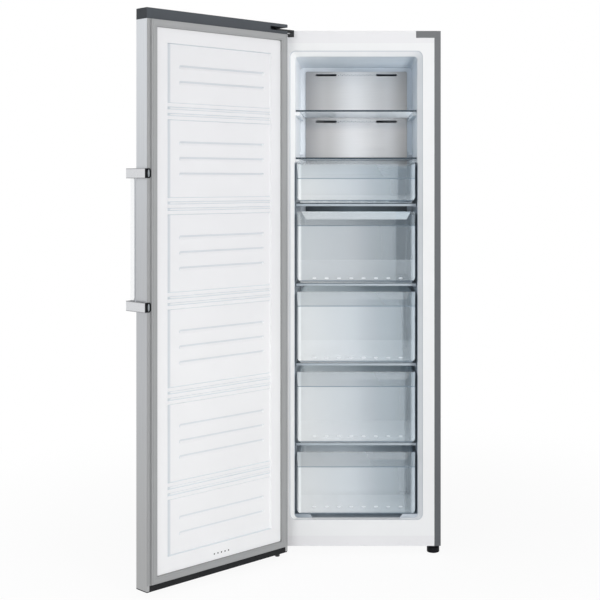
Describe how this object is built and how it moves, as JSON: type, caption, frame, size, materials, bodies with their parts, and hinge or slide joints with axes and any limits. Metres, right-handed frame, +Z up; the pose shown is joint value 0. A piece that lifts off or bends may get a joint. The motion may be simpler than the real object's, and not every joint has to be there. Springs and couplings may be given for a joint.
{
  "type": "upright freezer",
  "caption": "Upright freezer with a left-hung door swung wide open, clear drawers on glass shelves, a long bar handle and levelling feet.",
  "frame": {"origin": "on the floor, under the middle of the cabinet body seen from above (the open door isn't counted)", "axes": "+Z up, -Y out of the cabinet's front, +X to the right as seen from the front"},
  "size_m": [1.029, 1.0786, 1.855],
  "materials": {
    "cabinet_grey": "satin",
    "zinc": "satin",
    "stainless": "satin",
    "white_plastic": "satin",
    "liner_white": "satin",
    "foam": "matte",
    "black_metal": "satin",
    "dark_plastic": "matte",
    "black_plastic": "matte",
    "black_rubber": "matte",
    "gasket_grey": "matte",
    "magnet": "matte",
    "steel": "satin",
    "aluminium": "satin",
    "copper": "satin",
    "clear_glass": "gloss",
    "clear_plastic": "gloss",
    "trim_white": "satin"
  },
  "bodies": {
    "cabinet": {"side_panel_left": "cabinet_grey", "side_panel_right": "cabinet_grey", "top_panel": "cabinet_grey", "back_panel": "zinc", "base_plate": "zinc", "bay_panel": "zinc", "insulation_foam": "foam", "inner_liner": "liner_white", "top_rail": "white_plastic", "bottom_rail": "white_plastic", "hinge_cover_right": "cabinet_grey", "top_hinge_bracket": "black_metal", "top_hinge_pin": "black_metal", "bottom_hinge_bracket": "black_metal", "bottom_hinge_pin": "black_metal", "hinge_screws": "black_metal", "roller_axles": "steel", "compressor": "black_metal", "compressor_grommets": "black_rubber", "compressor_relay_box": "black_plastic", "evaporation_tray": "black_plastic", "suction_pipe": "copper", "condenser_tube": "copper", "evaporator": "aluminium", "fan_motor": "black_plastic", "duct_panel": "aluminium", "defrost_heater": "steel", "power_inlet": "black_plastic", "glass_shelf_1": "clear_glass", "glass_shelf_2": "clear_glass", "drawer_shelves": "clear_glass", "drawer_shelf_trims": "trim_white"},
    "door": {"door_panel": "stainless", "door_top_cap": "dark_plastic", "door_bottom_cap": "black_plastic", "door_foam": "foam", "door_liner": "liner_white", "door_gasket": "gasket_grey", "gasket_magnets": "magnet", "handle_bar": "stainless", "handle_brackets": "stainless", "handle_screws": "steel", "hinge_bushes": "black_plastic"},
    "drawer_1": {"drawer_1_front": "clear_plastic", "drawer_1_bin": "clear_plastic"},
    "drawer_2": {"drawer_2_front": "clear_plastic", "drawer_2_bin": "clear_plastic"},
    "drawer_3": {"drawer_3_front": "clear_plastic", "drawer_3_bin": "clear_plastic"},
    "drawer_4": {"drawer_4_front": "clear_plastic", "drawer_4_bin": "clear_plastic"},
    "drawer_5": {"drawer_5_front": "clear_plastic", "drawer_5_bin": "clear_plastic"},
    "foot_left": {"foot_left": "black_plastic"},
    "foot_right": {"foot_right": "black_plastic"},
    "roller_left": {"roller_left": "black_plastic"},
    "roller_right": {"roller_right": "black_plastic"},
    "fan_rotor": {"fan_rotor": "trim_white"}
  },
  "joints": [
    {"name": "door_hinge", "type": "hinge", "parent": "cabinet", "child": "door", "pos_m": [-0.2749, -0.3382, 0], "axis": [0, 0, -1], "range_deg": [-134.4, 0.6]},
    {"name": "drawer_1_slide", "type": "slide", "parent": "cabinet", "child": "drawer_1", "axis": [0, -1, 0], "range_m": [0, 0.3]},
    {"name": "drawer_2_slide", "type": "slide", "parent": "cabinet", "child": "drawer_2", "axis": [0, -1, 0], "range_m": [0, 0.3]},
    {"name": "drawer_3_slide", "type": "slide", "parent": "cabinet", "child": "drawer_3", "axis": [0, -1, 0], "range_m": [0, 0.3]},
    {"name": "drawer_4_slide", "type": "slide", "parent": "cabinet", "child": "drawer_4", "axis": [0, -1, 0], "range_m": [0, 0.3]},
    {"name": "drawer_5_slide", "type": "slide", "parent": "cabinet", "child": "drawer_5", "axis": [0, -1, 0], "range_m": [0, 0.23]},
    {"name": "foot_left_screw", "type": "hinge", "parent": "cabinet", "child": "foot_left", "pos_m": [-0.272, -0.273, 0], "axis": [0, 0, 1], "continuous": true},
    {"name": "foot_right_screw", "type": "hinge", "parent": "cabinet", "child": "foot_right", "pos_m": [0.272, -0.273, 0], "axis": [0, 0, 1], "continuous": true},
    {"name": "roller_left_axle", "type": "hinge", "parent": "cabinet", "child": "roller_left", "pos_m": [-0.25, 0.245, 0.018], "axis": [1, 0, 0], "continuous": true},
    {"name": "roller_right_axle", "type": "hinge", "parent": "cabinet", "child": "roller_right", "pos_m": [0.25, 0.245, 0.018], "axis": [1, 0, 0], "continuous": true},
    {"name": "fan_spin", "type": "hinge", "parent": "cabinet", "child": "fan_rotor", "pos_m": [0, 0.19, 1.632], "axis": [0, -1, 0], "continuous": true}
  ]
}
